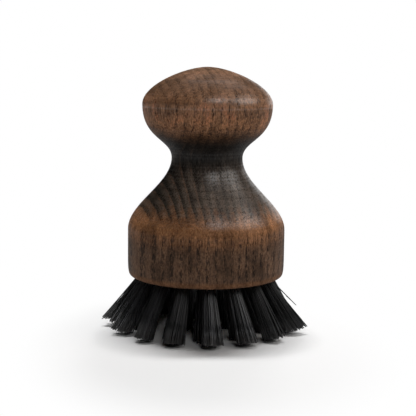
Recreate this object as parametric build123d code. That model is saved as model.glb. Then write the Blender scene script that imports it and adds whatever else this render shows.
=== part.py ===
from build123d import *

import os
from collections import namedtuple
from math import atan, degrees, hypot, radians, tan

# Palm brush: a turned wooden block with a knob for the palm, set with three rings of leaning bristle tufts.
# Each tuft is a bundle of filaments folded over a flat wire anchor and driven into its own slanted blind hole.
# Millimetres, +Z up. The origin is on the floor, on the block's axis, and the front of the brush is -Y.

# Turned block, with heights above its underside
block_diameter = 60.0
block_height = 79.1
knob_diameter = 49.4
knob_widest_height = 65.0
waist_diameter = 27.0
waist_height = 44.7
shoulder_height = 17.5
foot_height = 7.7
foot_inset = 1.5

# How far each curve of the outline keeps to the tangents at its start and end, as shares of its span
crown_pull_shares = (0.34, 0.51)
neck_pull_shares = (0.66, 0.35)
flare_pull_shares = (0.37, 0.34)
foot_pull_shares = (0.95, 0.77)

# Straight runs in which each curve of the outline is turned
crown_runs = 7
neck_runs = 7
flare_runs = 7
foot_runs = 3

# Blind holes, with a few sides in place of a round wall, and the wood left outside the outer ring of them
hole_diameter = 4.6
hole_depth = 9.0
hole_sides = 12
rim_width = 5.5
inner_ring_radius = 8.0

# Rings of tufts: how many, how far each leans outwards, and how far the ring is turned from the front
outer_count = 16
outer_lean_degrees = 30.3
outer_turn_degrees = 0.0
middle_count = 11
middle_lean_degrees = 23.8
middle_turn_degrees = -5.8
inner_count = 6
inner_lean_degrees = 8.0
inner_turn_degrees = 5.0

# Tufts: strands stand in two circles round a middle one and fan out to the tips
bristle_stand = 20.4
tuft_tip_radius = 3.55
strand_sides = 3
strand_radius = 0.42
strand_margin = 0.11
near_strands = 5
far_strands = 8
near_circle_share = 0.5
plug_clearance = 0.03

# Bevel to which the outer ring is trimmed, from this far inside the circle of its tips
bevel_inset = 4.4
bevel_degrees = 12.5

# Flat wire anchor across the fold of each tuft, and the bevel by which the fold is narrowed at the hole's floor
anchor_thickness = 0.35
anchor_height = 1.8
anchor_bite = 0.3
anchor_clearance = 0.03
fold_thickness = 1.5
fold_bevel = 1.1

# Length by which cutting tools and untrimmed strands run past what they meet
overrun = 6.0

# Sizes that follow from those above
block_radius = block_diameter / 2
knob_radius = knob_diameter / 2
waist_radius = waist_diameter / 2
foot_radius = block_radius - foot_inset
crown_rise = block_height - knob_widest_height
neck_drop = knob_widest_height - waist_height
flare_drop = waist_height - shoulder_height
hole_radius = hole_diameter / 2
hole_filler_length = hole_depth + overrun
outer_ring_radius = foot_radius - rim_width
middle_ring_radius = (outer_ring_radius + inner_ring_radius) / 2
plug_radius = hole_radius - plug_clearance
tuft_root_radius = plug_radius - strand_margin - strand_radius
anchor_width = hole_diameter + 2 * anchor_bite
anchor_seat_height = fold_thickness - hole_depth
trimmer_width = 2 * (block_diameter + bristle_stand)

Ring = namedtuple("Ring", "name count radius lean_degrees turn_degrees bevelled")
rings = (
    Ring("outer", outer_count, outer_ring_radius, outer_lean_degrees, outer_turn_degrees, True),
    Ring("middle", middle_count, middle_ring_radius, middle_lean_degrees, middle_turn_degrees, False),
    Ring("inner", inner_count, inner_ring_radius, inner_lean_degrees, inner_turn_degrees, False),
)


def ends_of_runs(curve, runs):
    """The points along a curve of the outline, after its first, where its straight runs end."""
    return [curve @ (step / runs) for step in range(1, runs + 1)]


def turned_block():
    """The block as it leaves the lathe: a half section of straight runs along tangent curves, turned."""
    crown = Bezier(
        (0, block_height),
        (crown_pull_shares[0] * knob_radius, block_height),
        (knob_radius, knob_widest_height + crown_pull_shares[1] * crown_rise),
        (knob_radius, knob_widest_height),
    )
    neck = Bezier(
        crown @ 1,
        (knob_radius, knob_widest_height - neck_pull_shares[0] * neck_drop),
        (waist_radius, waist_height + neck_pull_shares[1] * neck_drop),
        (waist_radius, waist_height),
    )
    flare = Bezier(
        neck @ 1,
        (waist_radius, waist_height - flare_pull_shares[0] * flare_drop),
        (block_radius, shoulder_height + flare_pull_shares[1] * flare_drop),
        (block_radius, shoulder_height),
    )
    foot = Bezier(
        (block_radius, foot_height),
        (block_radius, foot_height * (1 - foot_pull_shares[0])),
        (foot_radius + foot_inset * foot_pull_shares[1], 0),
        (foot_radius, 0),
    )
    outline = Polyline(
        crown @ 0,
        *ends_of_runs(crown, crown_runs),
        *ends_of_runs(neck, neck_runs),
        *ends_of_runs(flare, flare_runs),
        foot @ 0,
        *ends_of_runs(foot, foot_runs),
        (0, 0),
        close=True,
    )
    turned = revolve(Plane.XZ * make_face(outline), Axis.Z)
    return Pos(0, 0, bristle_stand) * turned


def hole_mouth(ring):
    """The place of a ring's hole on +X: origin in its mouth, X across the lean, Z down the tuft."""
    return Pos(ring.radius, 0, bristle_stand) * Rot(0, 180 - ring.lean_degrees, 0)


def round_the_ring(ring):
    """The turns that take a shape on +X to each place of a ring, from the front."""
    front_degrees = ring.turn_degrees - 90
    return [Rot(0, 0, front_degrees + step * 360 / ring.count) for step in range(ring.count)]


def hole_filler(radius):
    """A bar of many sides that stands on the floor of a hole and runs out past its mouth."""
    outline = RegularPolygon(radius, hole_sides, rotation=180 / hole_sides)
    return Pos(0, 0, -hole_depth) * extrude(outline, hole_filler_length)


def blind_hole():
    """What one hole takes out of the block: its bore, and the seat that the anchor's ends bite."""
    return hole_filler(hole_radius) + anchor(anchor_clearance)


def anchor(allowance):
    """The flat wire anchor across the fold, wider than the hole, grown by an allowance all round."""
    blank = Box(
        anchor_width + 2 * allowance,
        anchor_thickness + 2 * allowance,
        anchor_height + 2 * allowance,
        align=(Align.CENTER, Align.CENTER, Align.MIN),
    )
    return Pos(0, 0, anchor_seat_height - allowance) * blank


def folded_plug():
    """The packed filaments in the hole, narrowed where they fold and slotted for the anchor."""
    wedge = Box(
        hole_filler_length,
        hole_filler_length,
        hole_filler_length,
        align=(Align.CENTER, Align.MIN, Align.MIN),
    )
    fold = Pos(0, 0, fold_bevel - plug_radius - hole_depth) * Rot(45, 0, 0) * wedge
    return (hole_filler(plug_radius) & fold) - anchor(anchor_clearance)


def strand_circles():
    """The circles in which strands stand: how many, and the circle's share of the tuft's radius."""
    return ((1, 0), (near_strands, near_circle_share), (far_strands, 1))


def strands(tuft_length):
    """The three-sided strands of one tuft, from inside its plug to past the trimming plane."""
    bars = []
    for count, circle_share in strand_circles():
        root_radius = circle_share * tuft_root_radius
        spread = circle_share * (tuft_tip_radius - tuft_root_radius) / tuft_length
        length = hypot(1, spread) * (plug_radius + tuft_length + overrun)
        start = Pos(root_radius - spread * plug_radius, 0, -plug_radius)
        slant = Rot(0, degrees(atan(spread)), 0)
        blank = extrude(RegularPolygon(strand_radius, strand_sides), length)
        bar = start * slant * blank
        bars += [Rot(0, 0, step * 360 / count) * bar for step in range(count)]
    return bars


def trimmer(start_radius, rise_degrees):
    """What trims a tuft on +X: a block with a level top face, or one that rises outwards from a radius."""
    block = Box(trimmer_width, trimmer_width, trimmer_width, align=(Align.CENTER, Align.CENTER, Align.MAX))
    return Pos(start_radius, 0, 0) * Rot(0, -rise_degrees, 0) * block


def tuft(ring):
    """One tuft of a ring on +X: its plug flush with the underside, its strands trimmed at the floor."""
    reach = bristle_stand * tan(radians(ring.lean_degrees))
    tuft_length = hypot(reach, bristle_stand)
    mouth = hole_mouth(ring)
    plug = mouth * folded_plug() - Pos(0, 0, bristle_stand) * trimmer(0, 0)
    bundle = plug.fuse(*[mouth * bar for bar in strands(tuft_length)])
    trimmed = bundle - trimmer(0, 0)
    if ring.bevelled:
        trimmed = trimmed - trimmer(ring.radius + reach - bevel_inset, bevel_degrees)
    return trimmed


def write(shape, name):
    """Writes one sub-part as its own STEP file."""
    shape.label = name
    export_step(shape, os.path.join("parts", name + ".step"))


os.makedirs("parts", exist_ok=True)

holes = [turn * hole_mouth(ring) * blind_hole() for ring in rings for turn in round_the_ring(ring)]
write(turned_block().cut(*holes), "turned_block")

for ring in rings:
    one_tuft = tuft(ring)
    one_anchor = hole_mouth(ring) * anchor(0)
    turns = round_the_ring(ring)
    for number, turn in enumerate(turns, start=1):
        write(turn * one_tuft, f"{ring.name}_tuft_{number:02d}")
    write(Compound(children=[turn * one_anchor for turn in turns]), f"{ring.name}_anchors")
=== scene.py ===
"""Palm brush: a turned dark ash block with leaning tufts of black filament, in a pale studio."""

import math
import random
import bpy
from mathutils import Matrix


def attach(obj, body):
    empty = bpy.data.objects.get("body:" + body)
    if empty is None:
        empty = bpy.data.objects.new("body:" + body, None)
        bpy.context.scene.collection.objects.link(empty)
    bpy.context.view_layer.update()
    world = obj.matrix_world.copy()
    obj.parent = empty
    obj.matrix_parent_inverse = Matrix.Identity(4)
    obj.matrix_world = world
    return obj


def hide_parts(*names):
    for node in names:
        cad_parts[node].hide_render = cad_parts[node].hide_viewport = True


bl_info = {
    "name": "Palm brush",
    "version": (1, 0, 0),
    "blender": (4, 5, 0),
    "location": "3D View > Sidebar > Palm brush",
    "description": "Turns the block, sets the tufts and lights the studio of a palm brush",
    "category": "Add Mesh",
}

from collections import namedtuple

import bmesh
import bpy
from mathutils import Color, Matrix, Vector
from mathutils.geometry import interpolate_bezier

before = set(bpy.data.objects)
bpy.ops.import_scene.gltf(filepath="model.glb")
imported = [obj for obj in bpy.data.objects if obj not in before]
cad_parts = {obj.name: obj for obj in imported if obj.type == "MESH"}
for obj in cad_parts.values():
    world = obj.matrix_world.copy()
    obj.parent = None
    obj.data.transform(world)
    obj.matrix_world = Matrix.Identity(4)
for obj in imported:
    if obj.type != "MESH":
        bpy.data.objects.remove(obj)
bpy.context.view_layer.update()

MM = 0.001

# Rings of tufts: radius of their holes in millimetres, lean and turn from the front in degrees
Ring = namedtuple("Ring", "name count radius lean turn bevelled")
RINGS = (
    Ring("outer", 16, 23.0, 30.3, 0.0, True),
    Ring("middle", 11, 15.5, 23.8, -5.8, False),
    Ring("inner", 6, 8.0, 8.0, 5.0, False),
)

# How use has pushed the tips of single tufts: sideways and outwards in millimetres, and how much
# wider they fan out, where FULL_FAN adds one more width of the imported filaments
Push = namedtuple("Push", "sideways outwards wider")
FULL_FAN = 3.65
PUSHED_TUFTS = {
    "outer_tuft_01": Push(1.0, 0.0, 0.2),
    "outer_tuft_02": Push(0.6, 0.0, 0.15),
    "outer_tuft_03": Push(-0.6, 0.3, 0.7),
    "outer_tuft_04": Push(-0.3, 1.3, 1.3),
    "outer_tuft_05": Push(-1.2, -2.4, 0.6),
    "outer_tuft_13": Push(0.2, 0.6, 0.5),
    "outer_tuft_14": Push(0.7, 0.5, 0.2),
    "outer_tuft_15": Push(0.9, 0.2, -0.1),
    "outer_tuft_16": Push(0.2, 0.0, 0.2),
    "middle_tuft_01": Push(0.5, 0.0, -0.4),
    "middle_tuft_02": Push(0.5, 0.0, -0.4),
    "middle_tuft_03": Push(1.4, 0.0, -0.3),
    "middle_tuft_10": Push(-1.2, 0.6, -1.2),
    "middle_tuft_11": Push(2.2, 0.0, -1.2),
}

# How far chance pushes the tips of the other tufts: two spreads and a range
SLIGHT_PUSH = Push(0.35, 0.25, (-0.2, 0.4))

# How many times as pale as usual single tufts are painted, as painted sheen and painted shade
LIT_AND_SHADED_TUFTS = {
    "outer_tuft_01": 6.0,
    "outer_tuft_02": 2.4,
    "outer_tuft_03": 0.4,
    "outer_tuft_04": 0.35,
    "outer_tuft_12": 2.0,
    "outer_tuft_13": 2.6,
    "outer_tuft_14": 1.8,
    "outer_tuft_15": 1.1,
    "outer_tuft_16": 0.9,
}

# Filaments that stand off the outer side of single tufts: how many, how far out their tips stand
# and how high they are cut, in millimetres
Loose = namedtuple("Loose", "count reach cut")
LOOSE_FILAMENTS = {
    "outer_tuft_04": Loose(1, 7.0, 11.5),
    "outer_tuft_12": Loose(3, 1.5, 1.5),
    "outer_tuft_13": Loose(7, 2.0, 0.8),
    "outer_tuft_14": Loose(3, 1.2, 0.4),
}
LOOSE_SHARES = (0.4, 1.0)

# Filament: its sides, where a leg bends between its hole and its tip, and the points of its fold
FILAMENT_SIDES = 6
LEG_SHARES = (0.0, 0.28, 0.62, 1.0)
FOLD_POINTS = 4
FILAMENT_RINGS = 2 * len(LEG_SHARES) + FOLD_POINTS

# How legs bend: scatter of their tips, and how far they bow up and aside, in millimetres
USUAL_SCATTER, STRAY_SCATTER = 0.22, 0.8
BOW_UP, BOW_ASIDE = (-0.12, 0.2), (-0.15, 0.15)
SPREAD_POWER = 1.08

# At the anchor: millimetres by which it parts the middle filaments, how much deeper outer ones
# fold, and the shares at which a bend starts and keeps its width
ANCHOR_PARTING, FOLD_SLOPE = 0.17, 0.6
FOLD_START, FOLD_WIDTH = 0.78, 0.8

# Tone of single filaments: the palest, and how rare pale ones are
TONE_TOP, TONE_POWER = 1.4, 2.2

# Runs of the block's outline: the points on each, and how it leaves its start and meets its end,
# level or upright for a share of its span. In straight runs the shares only space the points.
LEVEL, UPRIGHT = 0, 1
RUNS = {
    "crown": (28, (LEVEL, 0.34), (UPRIGHT, 0.51)),
    "neck": (30, (UPRIGHT, 0.66), (UPRIGHT, 0.35)),
    "flare": (34, (UPRIGHT, 0.37), (UPRIGHT, 0.34)),
    "side": (8, (UPRIGHT, 0.5357), (UPRIGHT, 0.1071)),
    "foot": (14, (UPRIGHT, 0.95), (LEVEL, 0.77)),
    "underside": (8, (LEVEL, 0.2632), (LEVEL, 0.3158)),
}

# Turning and drilling: sides, millimetres by which the cutters stand out of the holes, half of
# the drill point's angle, the least angle of a sharp edge, and the metres at which points merge
BLOCK_SIDES, HOLE_SIDES = 180, 20
HOLE_OVERRUN = 2.0
DRILL_POINT_DEGREES = 59
SHARP_DEGREES = 35
MERGE_DISTANCE = 1e-7

# Noises of the grain: how fine each is across it and along it, its detail and its roughness
GRAIN_NOISES = {
    "Sway": (0.05, 0.03, 3.0, 0.5),
    "Breaks": (0.35, 0.09, 3.0, 0.6),
    "Streaks": (1.3, 0.42, 4.0, 0.7),
    "Fibres": (2.6, 0.28, 4.0, 0.65),
    "Dashes": (1.9, 0.2, 3.0, 0.6),
    "Bands": (0.42, 0.025, 2.0, 0.5),
    "Blotches": (0.16, 0.1, 3.0, 0.5),
    "Specks": (1.7, 1.0, 3.0, 0.8),
}

# Where most of a noise lies
NOISE_SPAN = (0.3, 0.7)

# Years of growth: how far their lines sway in millimetres, how much wider each is than the last,
# where the count starts, and the parts of a year in which its late and early wood come and go
YEAR_SWAY, YEAR_WIDENING = 2.4, 0.006
YEAR_START, YEARS_BEFORE = 0.2, 64.0
LATE_START, LATE_END = (0.82, 0.95), (0.0, 0.06)
EARLY_START, EARLY_END = (0.02, 0.12), (0.25, 0.66)

# Pores: how fine they lie across and along the grain, their sizes, and how soft their edges are
PORE_STRETCH = (1.5, 0.5)
PORE_SIZES = (0.1, 0.38)
PORE_EDGE = (-0.07, 0.05)

# The block's tone and polish at heights in millimetres above its underside
# The tone paints shade under the knob, deepest at the neck, and light round the knob's widest place
TONE_AND_PAINTED_LIGHT_BY_HEIGHT = (
    (0.0, 0.28), (14.0, 0.29), (17.5, 0.46), (20.8, 0.58), (23.5, 0.8),
    (27.0, 0.74), (46.0, 0.5), (53.0, 0.27), (60.0, 0.56), (63.3, 0.5),
    (65.2, 0.84), (67.5, 0.84), (70.0, 0.66), (73.0, 0.62), (79.0, 0.68),
)
POLISH_BY_HEIGHT = (
    (0.0, 0.04), (15.0, 0.05), (21.0, 0.15), (23.5, 1.0), (28.0, 1.5),
    (36.0, 1.2), (38.0, 0.9), (44.0, 0.1), (53.0, 0.05), (60.0, 0.08),
    (63.5, 0.2), (66.0, 1.3), (72.0, 1.4), (77.0, 0.1),
)

# Heights above the underside, in millimetres, over which finishes and painted shade come in or go
# out
CHARCOAL_BASE = (12.0, 17.0)
DASHES_FADE = (20.0, 56.0)
COPPER_START = (56.0, 62.0)
CROWN_START = (61.0, 74.5)
FLARE_START = (23.5, 31.0)
FLARE_END = (50.0, 59.0)
# Painted shade under the knob, which blackens the waist
WAIST_SHADE_START = (34.0, 46.0)
YEAR_LINES_END = (38.0, 45.0)

# How far blotches, bands and early wood move the edges of the crown and the flare, in millimetres
CROWN_WANDER = 16.0
FLARE_WANDER = 10.0
FLARE_IN_EARLY_WOOD = 2.5

# How strongly each finish covers the wood, the waist's painted shade and the edges' painted
# highlight too
COPPER_SHARE = 0.6
CROWN_SHARE = 0.85
WAIST_SHADE_SHARE = 0.93
WEAR_AND_HIGHLIGHT_SHARE = 0.65
STREAK_SHARES = (0.45, 0.3, 0.35)

# Edges with wear and a painted highlight: the height of each above the underside, and its reach
WORN_AND_LIT_SHOULDER = (21.5, 4.6)
WORN_AND_LIT_FOOT = (1.2, 1.6)

# Black of open pores and early wood, also the painted shade that blackens the waist
PORE_AND_SHADE_BLACK = (0.008, 0.007, 0.0065, 1.0)
PANEL_BLACK = (0.004, 0.004, 0.004, 1.0)
WHITE = (1.0, 1.0, 1.0, 1.0)

# The floor turns to plain white at these distances from a place in front of the brush's axis, in
# millimetres, and sooner at the sides. Its reach each way is in metres.
FLOOR_FADE = (50.0, 95.0)
FLOOR_FORWARD = 30.0
FLOOR_NARROWED = 1.35
FLOOR_REACH = 3.0

# Soft lights: the studio's value for the power, sizes and place in metres, the height on the axis
# that each faces, its colour, and whether it shows in reflections
Light = namedtuple("Light", "name power width tall place aim colour in_gloss")
LIGHTS = (
    Light("Key light", "key_power", 0.32, 0.06, (0.0, 0.19, 0.92), 0.03, WHITE[:3], False),
    Light("Low light", "low_power", 0.3, 0.3, (0.25, 0.93, 0.3), 0.02, WHITE[:3], False),
    Light("Overhead light", "top_power", 0.7, 0.4, (0.15, 0.6, 0.95), 0.03, (0.85, 0.92, 1), True),
    Light("Side light", "side_power", 0.7, 0.5, (0.75, -0.18, 0.62), 0.06, (1, 0.97, 0.94), True),
    Light("Front light", "front_power", 0.35, 0.3, (0.2, -0.56, 0.74), 0.04, WHITE[:3], True),
)

# Camera: sensor and lens in millimetres, shift of the picture, and how near and far it sees
CAMERA_SENSOR, CAMERA_LENS = 36.0, 90.5
CAMERA_SHIFT = (0.0033, -0.0328)
CAMERA_REACH = (0.01, 20.0)


def length_property(label, about, millimetres):
    """A length that the user can change, in metres."""
    return bpy.props.FloatProperty(
        name=label, description=about, default=millimetres * MM, min=0.0, precision=5, unit="LENGTH"
    )


def angle_property(label, about, degrees):
    """An angle that the user can change."""
    return bpy.props.FloatProperty(
        name=label, description=about, default=math.radians(degrees), subtype="ANGLE"
    )


def power_property(label, about, watts):
    """The power of a light that the user can change."""
    return bpy.props.FloatProperty(name=label, description=about, default=watts, unit="POWER")


def colour_property(label, about, red, green, blue):
    """A colour that the user can change, as seen on the screen."""
    seen = (red / 255, green / 255, blue / 255)
    return bpy.props.FloatVectorProperty(
        name=label, description=about, default=seen, min=0.0, max=1.0, size=3, subtype="COLOR_GAMMA"
    )


def shade(colour):
    """A colour property as the linear colour with an alpha that a shader socket takes."""
    return (*Color(colour).from_srgb_to_scene_linear(), 1.0)


class PalmBrushBlock(bpy.types.PropertyGroup):
    """Sizes and colours of the turned block."""

    stand: length_property("Stand", "Height of its underside", 20.4)
    height: length_property("Height", "Height of the block", 79.1)
    block_width: length_property("Block width", "Width of the round base", 60.0)
    foot_inset: length_property("Foot inset", "How far the lower edge is rounded inwards", 1.5)
    foot_height: length_property("Foot height", "Where the lower edge starts to round", 7.7)
    shoulder_height: length_property("Shoulder height", "Where the base starts to draw in", 17.5)
    waist_width: length_property("Waist width", "Width of the narrowest place", 27.0)
    waist_height: length_property("Waist height", "Height of the narrowest place", 44.7)
    knob_width: length_property("Knob width", "Width of the knob", 49.4)
    knob_height: length_property("Knob height", "Height of the knob's widest place", 65.0)
    hole_width: length_property("Hole width", "Width of the drilled holes", 4.6)
    hole_depth: length_property("Hole depth", "Depth of the drilled holes", 9.0)
    pale_wood: colour_property("Late wood", "Hard lines between the years", 138, 104, 82)
    warm_wood: colour_property("Warm wood", "Colour of the long grain", 144, 100, 68)
    dark_wood: colour_property("Early wood", "Colour of the open early wood", 46, 39, 35)
    copper_wood: colour_property("Copper", "Redder flecks about the knob", 150, 78, 42)
    crown_wood: colour_property("Crown", "Colour of the knob's crown", 112, 86, 68)
    end_wood: colour_property("Charcoal", "Colour of the flare's cut fibres", 116, 102, 90)


class PalmBrushTufts(bpy.types.PropertyGroup):
    """Sizes and colours of the filaments."""

    filament_width: length_property("Filament width", "Thickness of one filament", 0.42)
    bundle_width: length_property("Bundle width", "Width of the packed filaments", 4.1)
    tip_width: length_property("Tip width", "Width of a tuft at the floor", 7.3)
    fold_depth: length_property("Fold depth", "Depth of the innermost fold", 7.7)
    trim_scatter: length_property("Trim scatter", "How unevenly the tips are cut", 0.5)
    stray_share: bpy.props.FloatProperty(
        name="Strays", description="Share of filaments that stray", default=0.03, min=0.0, max=1.0
    )
    bevel_inset: length_property("Bevel inset", "How far in from the tips the bevel starts", 4.4)
    bevel_angle: angle_property("Bevel angle", "How steeply the outer ring is trimmed", 12.5)
    seed: bpy.props.IntProperty(
        name="Seed", description="Another scatter of the filaments", default=7, min=0
    )
    filament_colour: colour_property("Filament", "Colour of the filaments", 29, 29, 30)
    tip_colour: colour_property("Tips", "Colour of the worn tips", 36, 35, 35)


class PalmBrushStudio(bpy.types.PropertyGroup):
    """Camera, floor and lights, and the colour of the anchor wire."""

    camera_distance: length_property("Camera distance", "From the camera to its aim", 400.0)
    camera_height: length_property("Aim height", "Height at which the camera looks", 51.03)
    camera_azimuth: angle_property("Azimuth", "Turn of the camera from the front", -3.1)
    camera_elevation: angle_property("Elevation", "Slope of the view", 7.66)
    camera_roll: angle_property("Roll", "Turn of the camera about its view", 0.65)
    floor_colour: colour_property("Floor", "Colour of the floor", 255, 255, 255)
    wire_colour: colour_property("Wire", "Colour of the anchor wire", 170, 168, 164)
    key_power: power_property("Key", "Power of the light behind", 6.1)
    top_power: power_property("Top", "Power of the light above", 0.4)
    low_power: power_property("Low", "Power of the low light behind", 2.6)
    side_power: power_property("Side", "Power of the side light", 2.0)
    front_power: power_property("Front", "Power of the front light", 0.8)
    world_light: bpy.props.FloatProperty(
        name="Surroundings", description="Strength of light from all round", default=1.0, min=0.0
    )


class Graph:
    """A node tree, with short ways to add the nodes that the finishes use."""

    def __init__(self, tree):
        self.tree = tree

    def add(self, kind, inputs=None, **settings):
        """A new node with its settings, and its inputs by name or number."""
        node = self.tree.nodes.new(kind)
        for name, value in settings.items():
            setattr(node, name, value)
        for key, value in (inputs or {}).items():
            self.feed(node.inputs[key], value)
        return node

    def feed(self, socket, value):
        """Links a socket to an output, or sets its value."""
        if isinstance(value, bpy.types.NodeSocket):
            self.tree.links.new(value, socket)
        else:
            socket.default_value = value

    def math(self, operation, *values, clamp=False):
        """The result of a Math node, held between nothing and one if clamped."""
        inputs = dict(enumerate(values))
        return self.add("ShaderNodeMath", inputs, operation=operation, use_clamp=clamp).outputs[0]

    def product(self, *values, clamp=False):
        """Values multiplied in turn, the last result held between nothing and one if clamped."""
        result = values[0]
        for value in values[1:-1]:
            result = self.math("MULTIPLY", result, value)
        return self.math("MULTIPLY", result, values[-1], clamp=clamp)

    def most(self, first, *others):
        """The greatest of some values."""
        for value in others:
            first = self.math("MAXIMUM", first, value)
        return first

    def plus(self, value, extra, share):
        """A value with a share of another added to it."""
        return self.math("MULTIPLY_ADD", extra, share, value)

    def wander(self, value, noise, reach):
        """A value that noise moves up and down, by half a reach at most."""
        return self.plus(value, self.math("SUBTRACT", noise, 0.5), reach)

    def span(self, value, low, high, first=0.0, last=1.0, smooth=True):
        """A value taken from one span to another, and held at its ends."""
        inputs = dict(enumerate((value, low, high, first, last)))
        kind = "SMOOTHSTEP" if smooth else "LINEAR"
        return self.add("ShaderNodeMapRange", inputs, interpolation_type=kind).outputs["Result"]

    def steps(self, value, stops):
        """A value looked up between stops, each a place and a level."""
        first, last = stops[0][0], stops[-1][0]
        ramp = self.add("ShaderNodeValToRGB", {"Fac": self.span(value, first, last, smooth=False)})
        marks = ramp.color_ramp.elements
        for number, (place, level) in enumerate(stops):
            at = (place - first) / (last - first)
            mark = marks[number] if number in {0, 1} else marks.new(at)
            mark.position = at
            mark.color = (level, level, level, 1.0)
        return ramp.outputs["Color"]

    def peak(self, value, middle, reach):
        """One at the middle of a value's span and nothing a reach away from it."""
        away = self.math("ABSOLUTE", self.math("SUBTRACT", value, middle))
        return self.span(away, 0.0, reach, 1.0, 0.0)

    def blend(self, share, first, second):
        """Two colours mixed."""
        inputs = {0: share, 6: first, 7: second}
        return self.add("ShaderNodeMix", inputs, data_type="RGBA", blend_type="MIX").outputs[2]

    def scaled(self, vector, factor):
        """A place or a colour multiplied by a number."""
        inputs = {0: vector, "Scale": factor}
        return self.add("ShaderNodeVectorMath", inputs, operation="SCALE").outputs["Vector"]

    def stretched(self, place, across, along):
        """A place in millimetres, scaled apart across the grain and along it."""
        inputs = {"Vector": place, "Scale": (across, across, along)}
        return self.add("ShaderNodeMapping", inputs).outputs["Vector"]

    def noise(self, place, scale, detail, roughness):
        """Soft noise about one half."""
        inputs = {"Vector": place, "Scale": scale, "Detail": detail, "Roughness": roughness}
        return self.add("ShaderNodeTexNoise", inputs).outputs["Fac"]

    def grain_noise(self, place, across, along, detail, roughness):
        """Soft noise about one half, drawn out along the grain."""
        return self.noise(self.stretched(place, across, along), 1.0, detail, roughness)

    def attribute(self, name):
        """A number kept on the piece's own mesh."""
        return self.add("ShaderNodeAttribute", attribute_name=name).outputs["Fac"]

    def group(self, name, make, inputs=None):
        """The outputs of a group placed here, which is made the first time it is used."""
        tree = bpy.data.node_groups.get(name) or make(name)
        return self.add("ShaderNodeGroup", inputs, node_tree=tree).outputs

    def relief(self, shader, height, strength, millimetres):
        """Bumps on a shader's surface."""
        inputs = {"Height": height, "Strength": strength, "Distance": millimetres * MM}
        self.feed(shader.inputs["Normal"], self.add("ShaderNodeBump", inputs).outputs["Normal"])


def new_group(name, inputs=()):
    """A new shader node group with its inputs: its graph, and the values given to it."""
    tree = bpy.data.node_groups.new(name, "ShaderNodeTree")
    for label, kind, default in inputs:
        socket = tree.interface.new_socket(label, in_out="INPUT", socket_type=kind)
        if default is not None:
            socket.default_value = default
    graph = Graph(tree)
    return graph, graph.add("NodeGroupInput").outputs


def closed_group(graph, kind, values):
    """The tree of a group, once it has an output of one kind for each of its values."""
    for label in values:
        graph.tree.interface.new_socket(label, in_out="OUTPUT", socket_type=kind)
    graph.add("NodeGroupOutput", values)
    return graph.tree


def empty_graph(owner):
    """The graph of a material or a world, with nothing in it yet."""
    owner.use_nodes = True
    owner.node_tree.nodes.clear()
    return Graph(owner.node_tree)


def new_material(name, values):
    """A material with the values of its shader, and its graph, shader and output."""
    material = bpy.data.materials.new(name)
    graph = empty_graph(material)
    shader = graph.add("ShaderNodeBsdfPrincipled", values)
    output = graph.add("ShaderNodeOutputMaterial", {"Surface": shader.outputs["BSDF"]})
    return material, graph, shader, output


def millimetre_group(name):
    """Object coordinates as a place in millimetres."""
    graph, _ = new_group(name)
    coordinates = graph.add("ShaderNodeTexCoord").outputs["Object"]
    return closed_group(graph, "NodeSocketVector", {"Place": graph.scaled(coordinates, 1 / MM)})


def place_in_millimetres(graph):
    """The place on a piece, in millimetres."""
    return graph.group("Place in millimetres", millimetre_group)["Place"]


def ash_grain_group(name):
    """Grain of an ash blank that stands on end: year rings, rows of pores, dashes and tones."""
    number = "NodeSocketFloat"
    inputs = (
        ("Place", "NodeSocketVector", None),
        ("Ring spacing", number, 3.0),
        ("Ring turn", number, 14.0),
    )
    graph, given = new_group(name, inputs)
    turn = graph.product(given["Ring turn"], -math.pi / 180)
    inputs = {"Vector": given["Place"], "Angle": turn}
    turned = graph.add("ShaderNodeVectorRotate", inputs, rotation_type="Z_AXIS").outputs["Vector"]
    noises = {label: graph.grain_noise(turned, *fine) for label, fine in GRAIN_NOISES.items()}

    # Years: swayed lines across the blank that lie a little wider apart towards one side
    across = graph.add("ShaderNodeSeparateXYZ", {0: turned}).outputs["X"]
    swayed = graph.wander(across, noises["Sway"], YEAR_SWAY)
    spacing = graph.plus(given["Ring spacing"], swayed, YEAR_WIDENING)
    years = graph.math("DIVIDE", graph.math("ADD", swayed, YEAR_START), spacing)
    phase = graph.math("FRACT", graph.math("ADD", years, YEARS_BEFORE))

    # Each year ends in a thin late line, broken here and there, and starts in a band of early wood
    before, after = graph.span(phase, *LATE_START), graph.span(phase, *LATE_END, 1.0, 0.0)
    broken = graph.span(noises["Breaks"], 0.36, 0.6, 0.1, 1.0)
    late = graph.product(graph.math("ADD", before, after, clamp=True), broken)
    start, end = graph.span(phase, *EARLY_START), graph.span(phase, *EARLY_END, 1.0, 0.0)
    early = graph.product(start, end)

    # Pores are large in the early wood and small elsewhere
    inputs = {"Vector": graph.stretched(turned, *PORE_STRETCH), "Scale": 1.0, "Randomness": 1.0}
    distance = graph.add("ShaderNodeTexVoronoi", inputs).outputs["Distance"]
    size = graph.span(early, 0.0, 1.0, *PORE_SIZES, smooth=False)
    pores = graph.span(graph.math("SUBTRACT", distance, size), *PORE_EDGE, 1.0, 0.0)

    streaks = graph.span(noises["Streaks"], 0.46, 0.58)
    in_years = graph.span(early, 0.0, 0.8, 0.3, 1.0, smooth=False)
    values = {
        "Late line": late,
        "Early band": early,
        "Pores": pores,
        "Dark dashes": graph.product(streaks, in_years),
        "Pale dashes": graph.span(noises["Dashes"], 0.56, 0.68),
        "Across": across,
    }
    values.update({label: noises[label] for label in ("Fibres", "Bands", "Blotches", "Specks")})
    return closed_group(graph, number, values)


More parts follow.
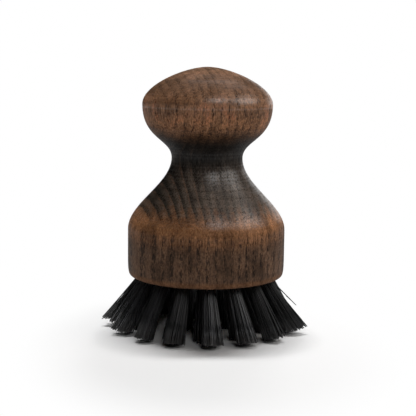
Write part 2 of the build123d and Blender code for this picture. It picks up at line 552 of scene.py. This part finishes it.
def long_grain(graph, grain, height, sizes):
    """Warm wood with streaks of fibre and dashes of dark, pale and copper wood."""
    dark = shade(sizes.dark_wood)
    fibres = graph.span(grain["Fibres"], 0.3, 0.62, 0.3, 1.0)
    wood = graph.blend(fibres, dark, shade(sizes.warm_wood))
    copper = graph.product(
        graph.span(grain["Blotches"], 0.5, 0.66),
        graph.span(grain["Fibres"], 0.42, 0.6),
        graph.span(height, *COPPER_START),
        COPPER_SHARE,
    )
    wood = graph.blend(copper, wood, shade(sizes.copper_wood))
    late_wood = graph.span(grain["Early band"], 0.0, 1.0, 0.6, 0.15)
    wood = graph.blend(graph.product(grain["Pale dashes"], late_wood), wood, shade(sizes.pale_wood))
    base = graph.span(height, *CHARCOAL_BASE, 0.35, 0.0)
    wood = graph.blend(base, wood, shade(sizes.end_wood))
    fade = graph.span(height, *DASHES_FADE, 0.8, 0.6)
    return graph.blend(graph.product(grain["Dark dashes"], fade), wood, dark)


def crown_grain(graph, grain, sizes):
    """The knob's crown: an even, greyer tone with faint streaks."""
    blotches, fibres = (graph.span(grain[label], 0.4, 0.6) for label in ("Blotches", "Fibres"))
    marks = (graph.product(blotches, fibres), grain["Dark dashes"], grain["Early band"])
    streaks = graph.most(*(graph.product(mark, share) for mark, share in zip(marks, STREAK_SHARES)))
    return graph.blend(streaks, shade(sizes.crown_wood), shade(sizes.dark_wood))


def flare_grain(graph, grain, height, sizes):
    """The flare and waist: charcoal, with pale lines between the years that fade to one side, and
    the waist blackened further by painted shade under the knob.
    """
    fibres = graph.span(grain["Fibres"], 0.35, 0.65, 0.45, 1.0)
    charcoal = graph.blend(fibres, PORE_AND_SHADE_BLACK, shade(sizes.end_wood))
    early = graph.product(grain["Early band"], graph.span(grain["Across"], -16.0, 0.0, 0.65, 0.2))
    charcoal = graph.blend(early, charcoal, PORE_AND_SHADE_BLACK)
    # Painted shade under the knob: the waist darkens on towards black, beyond its charcoal
    waist = graph.product(graph.span(height, *WAIST_SHADE_START), WAIST_SHADE_SHARE)
    charcoal = graph.blend(waist, charcoal, PORE_AND_SHADE_BLACK)
    clear = graph.product(
        graph.span(grain["Across"], -15.0, 0.0, 0.55, 0.1),
        graph.span(height, *YEAR_LINES_END, 1.0, 0.1),
    )
    lines = graph.product(grain["Late line"], clear)
    return graph.blend(lines, charcoal, shade(sizes.pale_wood))


def turned_wood(sizes):
    """Dark oiled ash: warm on its long grain, and charcoal where cut fibres took more oil, with
    painted shade under the knob and painted highlights on its edges.
    """
    values = {"Coat Roughness": 0.33, "Coat IOR": 1.95, "Specular IOR Level": 0.02}
    material, graph, shader, _ = new_material("Dark oiled ash", values)
    place = place_in_millimetres(graph)
    grain = graph.group("Ash grain", ash_grain_group, {"Place": place})
    from_floor = graph.add("ShaderNodeSeparateXYZ", {0: place}).outputs["Z"]
    height = graph.math("SUBTRACT", from_floor, sizes.stand / MM)

    wood = long_grain(graph, grain, height, sizes)
    crown = graph.span(graph.wander(height, grain["Blotches"], CROWN_WANDER), *CROWN_START)
    wood = graph.blend(graph.product(crown, CROWN_SHARE), wood, crown_grain(graph, grain, sizes))
    edge = graph.wander(height, grain["Bands"], FLARE_WANDER)
    edge = graph.plus(edge, grain["Early band"], FLARE_IN_EARLY_WOOD)
    flare = graph.product(graph.span(edge, *FLARE_START), graph.span(height, *FLARE_END, 1.0, 0.0))
    wood = graph.blend(flare, wood, flare_grain(graph, grain, height, sizes))

    # Pores that the finish has left open, worn edges with a painted highlight, and blotches of tone
    left_open = graph.span(graph.most(crown, flare), 0.0, 1.0, 0.65, 0.2)
    wood = graph.blend(graph.product(grain["Pores"], left_open), wood, PORE_AND_SHADE_BLACK)
    # Bands at the shoulder and the foot: wear, lightened further as a painted highlight
    worn = graph.most(graph.peak(height, *WORN_AND_LIT_SHOULDER), graph.peak(height, *WORN_AND_LIT_FOOT))
    wood = graph.blend(graph.product(worn, WEAR_AND_HIGHLIGHT_SHARE), wood, shade(sizes.warm_wood))
    # Tone by height carries the painted shade under the knob and the painted light band on it
    tone = graph.product(
        graph.span(grain["Blotches"], *NOISE_SPAN, 0.68, 1.32),
        graph.span(grain["Bands"], *NOISE_SPAN, 0.85, 1.15),
        graph.steps(height, TONE_AND_PAINTED_LIGHT_BY_HEIGHT),
        graph.span(grain["Specks"], *NOISE_SPAN, 1.2, 3.0),
    )
    graph.feed(shader.inputs["Base Color"], graph.scaled(wood, tone))

    # Polish that thins over pores, with rings from the turning tool
    upright = graph.add("ShaderNodeCombineXYZ", {"Z": height}).outputs[0]
    turning = graph.noise(upright, 0.9, 3.0, 0.75)
    polish = graph.product(
        graph.steps(height, POLISH_BY_HEIGHT),
        graph.span(grain["Fibres"], 0.32, 0.68, 0.3, 1.4),
        graph.span(turning, 0.4, 0.62, 0.55, 1.5),
        graph.span(grain["Pores"], 0.0, 1.0, 1.0, 0.2),
        clamp=True,
    )
    graph.feed(shader.inputs["Coat Weight"], polish)
    roughness = graph.span(grain["Fibres"], *NOISE_SPAN, 0.62, 0.5, smooth=False)
    graph.feed(shader.inputs["Roughness"], graph.plus(roughness, crown, 0.2))

    # Sunken pores, raised fibres, and tool marks that are deepest on the end grain
    marks = graph.span(graph.attribute("end_grain"), 0.0, 0.5, 0.1, 1.5)
    pores = graph.product(grain["Pores"], -0.6)
    fibres = graph.plus(pores, grain["Fibres"], 0.8)
    graph.relief(shader, graph.plus(fibres, turning, marks), 0.5, 0.18)
    return material


def black_filament(sizes):
    """Black nylon: each filament paler or darker than the next, paler at its worn tip, and painted
    darker towards its root.
    """
    material, graph, shader, _ = new_material("Black filament", {"Specular IOR Level": 0.6})
    along, tone = graph.attribute("along"), graph.attribute("tone")
    scuffs = graph.noise(place_in_millimetres(graph), 1.6, 3.0, 0.6)
    tip = graph.span(along, 0.82, 1.0)
    colour = graph.blend(tip, shade(sizes.filament_colour), shade(sizes.tip_colour))
    # Tone of each filament with its tuft's painted sheen and shade, scuffs, and painted shade near
    # the root
    lift_and_root_shade = graph.product(
        graph.span(tone, 0.0, 2.5, 0.25, 7.0, smooth=False),
        graph.span(scuffs, *NOISE_SPAN, 0.85, 1.15),
        graph.span(along, 0.04, 0.3, 0.12, 1.0),
    )
    graph.feed(shader.inputs["Base Color"], graph.scaled(colour, lift_and_root_shade))
    graph.feed(shader.inputs["Roughness"], graph.span(tone, 0.0, 1.0, 0.5, 0.26, smooth=False))
    graph.relief(shader, scuffs, 0.05, 0.05)
    return material


def anchor_steel(sizes):
    """Flat drawn steel wire, with fine lines along it."""
    material, graph, shader, _ = new_material("Drawn steel wire", {"Metallic": 1.0})
    lines = graph.noise(graph.stretched(place_in_millimetres(graph), 1.0, 9.0), 1.2, 3.0, 0.6)
    bright = shade(sizes.wire_colour)
    dull = tuple(0.6 * channel for channel in bright[:3]) + (1.0,)
    steel = graph.blend(graph.span(lines, 0.35, 0.65), dull, bright)
    graph.feed(shader.inputs["Base Color"], steel)
    roughness = graph.span(lines, *NOISE_SPAN, 0.45, 0.28, smooth=False)
    graph.feed(shader.inputs["Roughness"], roughness)
    graph.relief(shader, lines, 0.2, 0.05)
    return material


def turned_shape(outline, sides):
    """A closed shape turned from an outline of points that starts and ends on the axis."""
    shape = bmesh.new()
    corners = [shape.verts.new((radius, 0.0, height)) for radius, height in outline]
    edges = [shape.edges.new(pair) for pair in zip(corners, corners[1:])]
    bmesh.ops.spin(
        shape, geom=corners + edges, axis=(0, 0, 1), angle=math.tau, steps=sides, use_merge=True
    )
    bmesh.ops.remove_doubles(shape, verts=shape.verts[:], dist=MERGE_DISTANCE)
    bmesh.ops.recalc_face_normals(shape, faces=shape.faces[:])
    return shape


def mesh_from(shape, name):
    """A new mesh made from a bmesh, which is freed."""
    mesh = bpy.data.meshes.new(name)
    shape.to_mesh(mesh)
    shape.free()
    return mesh


def add_copy(shape, blank):
    """Adds a copy of a mesh to a bmesh, and gives back the copy's vertices."""
    start = len(shape.verts)
    shape.from_mesh(blank)
    shape.verts.ensure_lookup_table()
    return shape.verts[start:]


def put_in_scene(name, data):
    """A new object in the scene that holds a mesh, a light or a camera."""
    thing = bpy.data.objects.new(name, data)
    bpy.context.scene.collection.objects.link(thing)
    return thing


def piece_from(shape, name, material=None):
    """A new object in the scene made from a bmesh, with smooth faces."""
    for face in shape.faces:
        face.smooth = True
    piece = put_in_scene(name, mesh_from(shape, name))
    if material:
        piece.data.materials.append(material)
    return piece


def pulled(corner, other, way, share):
    """A corner of the outline moved level or upright by a share of the span to another one."""
    moved = [*corner, 0]
    moved[way] += share * (other[way] - corner[way])
    return moved


def block_outline(sizes):
    """The block's half section from the top of the knob to the middle of the underside."""
    base, knob, waist = sizes.block_width / 2, sizes.knob_width / 2, sizes.waist_width / 2
    corners = (
        (0, sizes.height),
        (knob, sizes.knob_height),
        (waist, sizes.waist_height),
        (base, sizes.shoulder_height),
        (base, sizes.foot_height),
        (base - sizes.foot_inset, 0),
        (0, 0),
    )
    outline = []
    for start, end, (count, leaves, meets) in zip(corners, corners[1:], RUNS.values()):
        curve = ([*start, 0], pulled(start, end, *leaves), pulled(end, start, *meets), [*end, 0])
        points = interpolate_bezier(*(Vector(point) for point in curve), count)
        outline += points[1:] if outline else points
    return [(point.x, point.y + sizes.stand) for point in outline]


def hole_places(ring, sizes):
    """The frame of each hole of a ring: origin in its mouth, Y along the ring, Z down the tuft."""
    for step in range(ring.count):
        turn = math.radians(ring.turn - 90 + step * 360 / ring.count)
        mouth = Matrix.Translation((ring.radius * MM, 0, sizes.stand))
        lean = Matrix.Rotation(math.radians(180 - ring.lean), 4, "Y")
        yield Matrix.Rotation(turn, 4, "Z") @ mouth @ lean


def drilled_holes(sizes):
    """All the blind holes as one cutting shape, each with its drill point."""
    radius, depth, overrun = sizes.hole_width / 2, sizes.hole_depth, HOLE_OVERRUN * MM
    point = radius / math.tan(math.radians(DRILL_POINT_DEGREES))
    outline = ((0, overrun), (radius, overrun), (radius, -depth), (0, -depth - point))
    blank = mesh_from(turned_shape(outline, HOLE_SIDES), "One hole")
    holes = bmesh.new()
    for ring in RINGS:
        for place in hole_places(ring, sizes):
            bmesh.ops.transform(holes, matrix=place, verts=add_copy(holes, blank))
    bpy.data.meshes.remove(blank)
    return piece_from(holes, "Holes")


class PALM_BRUSH_OT_block(bpy.types.Operator):
    """Turns the block and drills its blind holes"""

    bl_idname = "palm_brush.block"
    bl_label = "Turn the block"

    def execute(self, context):
        """Makes the turned block in place of the plain solid."""
        sizes = context.scene.palm_brush_block
        outline = block_outline(sizes)
        block = piece_from(turned_shape(outline, BLOCK_SIDES), "Turned_block", turned_wood(sizes))
        holes = drilled_holes(sizes)
        drill = block.modifiers.new("Drill", "BOOLEAN")
        drill.operation = "DIFFERENCE"
        drill.solver = "EXACT"
        drill.object = holes
        depsgraph = context.evaluated_depsgraph_get()
        drilled = bpy.data.meshes.new_from_object(block.evaluated_get(depsgraph))
        block.modifiers.clear()
        plain, block.data = block.data, drilled
        cutter = holes.data
        bpy.data.objects.remove(holes)
        for spent in (plain, cutter):
            bpy.data.meshes.remove(spent)
        drilled.name = "Turned_block"
        if len(drilled.polygons) < BLOCK_SIDES:
            raise RuntimeError("The holes left nothing of the block")
        end_grain = drilled.attributes.new("end_grain", "FLOAT", "POINT")
        for vertex in drilled.vertices:
            end_grain.data[vertex.index].value = abs(vertex.normal.z)
        drilled.set_sharp_from_angle(angle=math.radians(SHARP_DEGREES))
        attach(block, "root")
        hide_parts("turned_block")
        return {"FINISHED"}


def filament_blank(name):
    """One straight filament of unit radius, with a ring of vertices a unit apart for each bend."""
    blank = bmesh.new()
    bmesh.ops.create_circle(blank, cap_ends=True, radius=1.0, segments=FILAMENT_SIDES)
    end = blank.faces[:]
    for ring in range(1, FILAMENT_RINGS):
        grown = bmesh.ops.extrude_face_region(blank, geom=end)["geom"]
        if ring > 1:
            bmesh.ops.delete(blank, geom=end, context="FACES_ONLY")
        end = [item for item in grown if isinstance(item, bmesh.types.BMFace)]
        corners = [item for item in grown if isinstance(item, bmesh.types.BMVert)]
        bmesh.ops.translate(blank, vec=(0, 0, 1), verts=corners)
    bmesh.ops.recalc_face_normals(blank, faces=blank.faces[:])
    return mesh_from(blank, name)


def packed_spots(sizes):
    """Where folded filaments stand in one half of a hole, packed like round bars."""
    radius, pitch = sizes.bundle_width / 2, sizes.filament_width
    spots = []
    depth = pitch / 2
    while depth < radius:
        half = math.sqrt(radius**2 - depth**2)
        count = int(2 * half / pitch) + 1
        spots += [((n - (count - 1) / 2) * pitch, depth) for n in range(count)]
        depth += pitch * math.sqrt(0.75)
    return spots


class Tuft:
    """One tuft: the frame of its hole, its own chance, and how use has pushed its tips."""

    def __init__(self, name, ring, place, sizes, block):
        self.name, self.ring, self.place, self.sizes = name, ring, place, sizes
        self.chance = chance = random.Random(f"{sizes.seed} {name}")
        # Drawn for every tuft, so that a listed push changes no later draw
        slight = Push(
            chance.gauss(0, SLIGHT_PUSH.sideways),
            chance.gauss(0, SLIGHT_PUSH.outwards),
            chance.uniform(*SLIGHT_PUSH.wider),
        )
        self.pushed = PUSHED_TUFTS.get(name, slight)
        turned = place.to_3x3()
        self.across = turned @ Vector((1, 0, 0))
        self.sideways = (turned @ Vector((0, 1, 0))).normalized()
        self.axis = (turned @ Vector((0, 0, 1))).normalized()
        self.outer_side = math.copysign(1.0, turned.col[0].dot(place.translation.xy.to_3d()))
        self.outwards = self.across.normalized() * self.outer_side
        self.length = block.stand / math.cos(math.radians(ring.lean))
        tip_circle = ring.radius * MM + block.stand * math.tan(math.radians(ring.lean))
        self.bevel_start = tip_circle - sizes.bevel_inset

    def leg(self, start, aim, cut):
        """The points of one free leg, from the hole's mouth to its tip, cut at a height."""
        side = aim - start
        length = side.dot(self.axis)
        spread = side - self.axis * length
        bow = Vector((0, 0, self.chance.uniform(*BOW_UP) * MM))
        bow += self.axis.cross(Vector((0, 0, 1))) * self.chance.uniform(*BOW_ASIDE) * MM
        points = []
        for share in LEG_SHARES:
            bent = spread * share**SPREAD_POWER + bow * 4 * share * (1 - share)
            points.append(start + self.axis * length * share + bent)
        last = points[-1] - points[-2]
        points[-1] = points[-2] + last * ((cut - points[-2].z) / last.z)
        return points

    def free_leg(self, across, depth, loose):
        """One free leg of a filament, aimed at its scattered and pushed place on the floor."""
        sizes, chance, pushed = self.sizes, self.chance, self.pushed
        start = self.place @ Vector((across, depth, 0))
        width = USUAL_SCATTER if chance.random() > sizes.stray_share else STRAY_SCATTER
        scatter = Vector((chance.gauss(0, width), chance.gauss(0, width))) * MM
        fan = sizes.tip_width / sizes.bundle_width + pushed.wider / FULL_FAN
        spot = Vector((across * fan + scatter.x, depth * fan + scatter.y, self.length))
        aim = self.place @ spot
        aim += self.sideways * pushed.sideways * MM + self.outwards * pushed.outwards * MM
        at_floor = (aim - start) * (-start.z / (aim.z - start.z)) + start
        cut = chance.uniform(0, sizes.trim_scatter)
        if loose:
            aim += self.outwards * loose.reach * MM * chance.uniform(*LOOSE_SHARES)
            cut += loose.cut * MM
        if self.ring.bevelled:
            past_bevel = max(0, at_floor.xy.length - self.bevel_start)
            cut += past_bevel * math.tan(sizes.bevel_angle)
        return self.leg(start, aim, cut)

    def folded_line(self, across, depth, loose):
        """The line of one folded filament, from tip to tip round its anchor."""
        sizes = self.sizes
        first = self.free_leg(across, depth, loose)
        second = self.free_leg(across, -depth, None)
        apart = depth + ANCHOR_PARTING * MM * (1 - depth / (sizes.bundle_width / 2))
        bend, bottom = -FOLD_START * sizes.fold_depth, -(sizes.fold_depth + FOLD_SLOPE * depth)
        fold = ((1, bend), (FOLD_WIDTH, bottom), (-FOLD_WIDTH, bottom), (-1, bend))
        inside = [self.place @ Vector((across, share * apart, low)) for share, low in fold]
        return [*reversed(first), *inside, *second]

    def shape(self, blank, spots):
        """All the tuft's filaments as a bmesh, those on its outer side first."""
        loose = LOOSE_FILAMENTS.get(self.name, Loose(0, 0, 0))
        # Painted sheen and shade of the whole tuft, carried into each filament's tone
        worn = LIT_AND_SHADED_TUFTS.get(self.name, 1.0)
        filaments = bmesh.new()
        for label in ("along", "tone"):
            filaments.verts.layers.float.new(label)
        outer_first = sorted(spots, key=lambda spot: -spot[0] * self.outer_side)
        for order, (across, depth) in enumerate(outer_first):
            line = self.folded_line(across, depth, loose if order < loose.count else None)
            # Random tone of each filament, times its tuft's painted sheen and shade
            tone = TONE_TOP * self.chance.random() ** TONE_POWER * worn
            add_filament(filaments, blank, line, self.across, self.sizes.filament_width, tone)
        return filaments


def add_filament(filaments, blank, line, across, width, tone):
    """Bends a copy of the blank filament along a line, and cuts its two tips level."""
    layers = filaments.verts.layers.float
    along_layer, tone_layer = layers["along"], layers["tone"]
    last = len(line) - 1
    frames = []
    for index, point in enumerate(line):
        before, after = line[max(index - 1, 0)], line[min(index + 1, last)]
        heading = ((point - before).normalized() + (after - point).normalized()).normalized()
        second = heading.cross(across).normalized()
        frames.append((point, heading, second.cross(heading), second))
    for vertex in add_copy(filaments, blank):
        ring = round(vertex.co.z)
        point, heading, first, second = frames[ring]
        flat = vertex.co.copy()
        vertex.co = point + (first * flat.x + second * flat.y) * width / 2
        from_tip = min(ring, last - ring)
        if from_tip == 0:
            vertex.co += heading * ((point.z - vertex.co.z) / heading.z)
        vertex[along_layer] = LEG_SHARES[max(len(LEG_SHARES) - 1 - from_tip, 0)]
        vertex[tone_layer] = tone


class PALM_BRUSH_OT_tufts(bpy.types.Operator):
    """Folds the filaments of every tuft over its anchor and fans them out to the floor"""

    bl_idname = "palm_brush.tufts"
    bl_label = "Set the tufts"

    def execute(self, context):
        """Makes one piece for each tuft in place of its plain strands."""
        sizes, block = context.scene.palm_brush_tufts, context.scene.palm_brush_block
        material = black_filament(sizes)
        blank = filament_blank("One filament")
        spots = packed_spots(sizes)
        if not spots:
            raise RuntimeError("No filament fits in a hole")
        for ring in RINGS:
            for number, place in enumerate(hole_places(ring, block), 1):
                name = f"{ring.name}_tuft_{number:02d}"
                tuft = Tuft(name, ring, place, sizes, block).shape(blank, spots)
                piece = piece_from(tuft, f"{name}_filaments", material)
                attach(piece, "root")
                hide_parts(name)
        bpy.data.meshes.remove(blank)
        return {"FINISHED"}


class PALM_BRUSH_OT_anchors(bpy.types.Operator):
    """Gives the flat wire anchors their steel"""

    bl_idname = "palm_brush.anchors"
    bl_label = "Finish the anchors"

    def execute(self, context):
        """Puts the drawn steel on the three rings of anchors."""
        material = anchor_steel(context.scene.palm_brush_studio)
        for ring in RINGS:
            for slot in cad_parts[f"{ring.name}_anchors"].material_slots:
                slot.material = material
        return {"FINISHED"}


def studio_floor(sizes):
    """A pale floor that keeps the brush's shadow and turns to plain white away from it."""
    values = {"Base Color": shade(sizes.floor_colour), "Roughness": 0.9, "Specular IOR Level": 0.0}
    material, graph, shader, output = new_material("Studio floor", values)
    place = place_in_millimetres(graph)
    inputs = {"Vector": place, "Location": (0, FLOOR_FORWARD, 0), "Scale": (FLOOR_NARROWED, 1, 1)}
    middle = graph.add("ShaderNodeMapping", inputs).outputs["Vector"]
    away = graph.add("ShaderNodeVectorMath", {0: middle}, operation="LENGTH").outputs["Value"]
    rays = graph.add("ShaderNodeLightPath").outputs
    kinds = ("Is Camera Ray", "Is Glossy Ray", "Is Transmission Ray")
    seen = graph.most(*(rays[kind] for kind in kinds))
    white = graph.add("ShaderNodeEmission", {"Color": WHITE, "Strength": 1.0}).outputs[0]
    share = graph.product(seen, graph.span(away, *FLOOR_FADE))
    mixed = graph.add("ShaderNodeMixShader", {0: share, 1: shader.outputs[0], 2: white}).outputs[0]
    graph.feed(output.inputs["Surface"], mixed)
    return material


def soft_light(light, power):
    """A soft light that faces a point on the brush's axis."""
    data = bpy.data.lights.new(light.name, "AREA")
    data.shape = "RECTANGLE"
    data.size, data.size_y = light.width, light.tall
    data.energy = power
    data.color = light.colour
    lamp = put_in_scene(light.name, data)
    lamp.location = light.place
    heading = Vector((0, 0, light.aim)) - Vector(light.place)
    lamp.rotation_euler = heading.to_track_quat("-Z", "Y").to_euler()
    lamp.visible_glossy = light.in_gloss


def dark_panels():
    """Dark panels all round and above, with a low opening behind the brush on its right."""
    values = {"Base Color": PANEL_BLACK, "Roughness": 1.0, "Specular IOR Level": 0.0}
    material = new_material("Dark panel", values)[0]
    left, right, front, back, top = -0.9, 1.0, -1.2, 1.2, 1.3
    left_end, right_end, opening = -0.05, 0.95, 0.45
    walls = (
        ((left, back), (left, front), 0),
        ((left, front), (right, front), 0),
        ((right, front), (right, right_end), 0),
        ((right, right_end), (right, back), opening),
        ((right, back), (left_end, back), opening),
        ((left_end, back), (left, back), 0),
    )
    sheets = [((*a, low), (*b, low), (*b, top), (*a, top)) for a, b, low in walls]
    sheets.append(((left, front, top), (right, front, top), (right, back, top), (left, back, top)))
    shape = bmesh.new()
    for sheet in sheets:
        shape.faces.new([shape.verts.new(corner) for corner in sheet])
    panels = piece_from(shape, "Dark_panels", material)
    panels.visible_camera = False
    panels.visible_shadow = False
    return panels


def even_surroundings(strength):
    """A white world that gives the same light from all round."""
    world = bpy.data.worlds.new("Studio surroundings")
    graph = empty_graph(world)
    light = graph.add("ShaderNodeBackground", {"Color": WHITE, "Strength": strength})
    graph.add("ShaderNodeOutputWorld", {"Surface": light.outputs[0]})
    return world


def studio_camera(sizes):
    """A camera in front of the brush, turned, tipped and rolled as the photo's was."""
    data = bpy.data.cameras.new("Camera")
    data.sensor_width = CAMERA_SENSOR
    data.lens = CAMERA_LENS
    data.shift_x, data.shift_y = CAMERA_SHIFT
    data.clip_start, data.clip_end = CAMERA_REACH
    camera = put_in_scene("Camera", data)
    turn, slope = sizes.camera_azimuth, sizes.camera_elevation
    level = math.cos(slope)
    back = Vector((math.sin(turn) * level, -math.cos(turn) * level, math.sin(slope)))
    camera.location = Vector((0, 0, sizes.camera_height)) + back * sizes.camera_distance
    unrolled = (-back).to_track_quat("-Z", "Y").to_matrix()
    camera.rotation_euler = (unrolled @ Matrix.Rotation(sizes.camera_roll, 3, "Z")).to_euler()
    return camera


class PALM_BRUSH_OT_studio(bpy.types.Operator):
    """Lays the floor, hangs the lights and places the camera"""

    bl_idname = "palm_brush.studio"
    bl_label = "Set up the studio"

    def execute(self, context):
        """Makes the stage round the brush."""
        scene, sizes = context.scene, context.scene.palm_brush_studio
        ground = bmesh.new()
        bmesh.ops.create_grid(ground, x_segments=1, y_segments=1, size=FLOOR_REACH)
        floor = piece_from(ground, "Floor", studio_floor(sizes))
        dark_panels()
        for light in LIGHTS:
            soft_light(light, getattr(sizes, light.power))
        scene.world = even_surroundings(sizes.world_light)
        scene.view_settings.view_transform = "Standard"
        scene.camera = studio_camera(sizes)
        return {"FINISHED"}


class PALM_BRUSH_PT_panel(bpy.types.Panel):
    """Lists the brush's sizes and the steps that make it"""

    bl_label = "Palm brush"
    bl_idname = "PALM_BRUSH_PT_panel"
    bl_space_type = "VIEW_3D"
    bl_region_type = "UI"
    bl_category = "Palm brush"

    def draw(self, context):
        """Draws each step's button over the sizes that it uses."""
        for step, group in PANEL_ROWS:
            box = self.layout.box()
            box.operator(step.bl_idname)
            values = getattr(context.scene, group)
            for name in values.bl_rna.properties.keys():
                if name not in {"rna_type", "name"}:
                    box.prop(values, name)


PANEL_ROWS = (
    (PALM_BRUSH_OT_block, "palm_brush_block"),
    (PALM_BRUSH_OT_tufts, "palm_brush_tufts"),
    (PALM_BRUSH_OT_anchors, "palm_brush_studio"),
    (PALM_BRUSH_OT_studio, "palm_brush_studio"),
)

VALUES = {
    "palm_brush_block": PalmBrushBlock,
    "palm_brush_tufts": PalmBrushTufts,
    "palm_brush_studio": PalmBrushStudio,
}

CLASSES = (
    *VALUES.values(),
    PALM_BRUSH_OT_block,
    PALM_BRUSH_OT_tufts,
    PALM_BRUSH_OT_anchors,
    PALM_BRUSH_OT_studio,
    PALM_BRUSH_PT_panel,
)


def register():
    """Adds the brush's classes and its sizes to Blender."""
    for kind in CLASSES:
        bpy.utils.register_class(kind)
    for name, kind in VALUES.items():
        setattr(bpy.types.Scene, name, bpy.props.PointerProperty(type=kind))


def unregister():
    """Takes the brush's classes and its sizes out of Blender."""
    for name in VALUES:
        delattr(bpy.types.Scene, name)
    for kind in reversed(CLASSES):
        bpy.utils.unregister_class(kind)


def main():
    """Makes the whole brush and its studio."""
    register()
    bpy.ops.palm_brush.block()
    bpy.ops.palm_brush.tufts()
    bpy.ops.palm_brush.anchors()
    bpy.ops.palm_brush.studio()


if __name__ == "__main__":
    main()
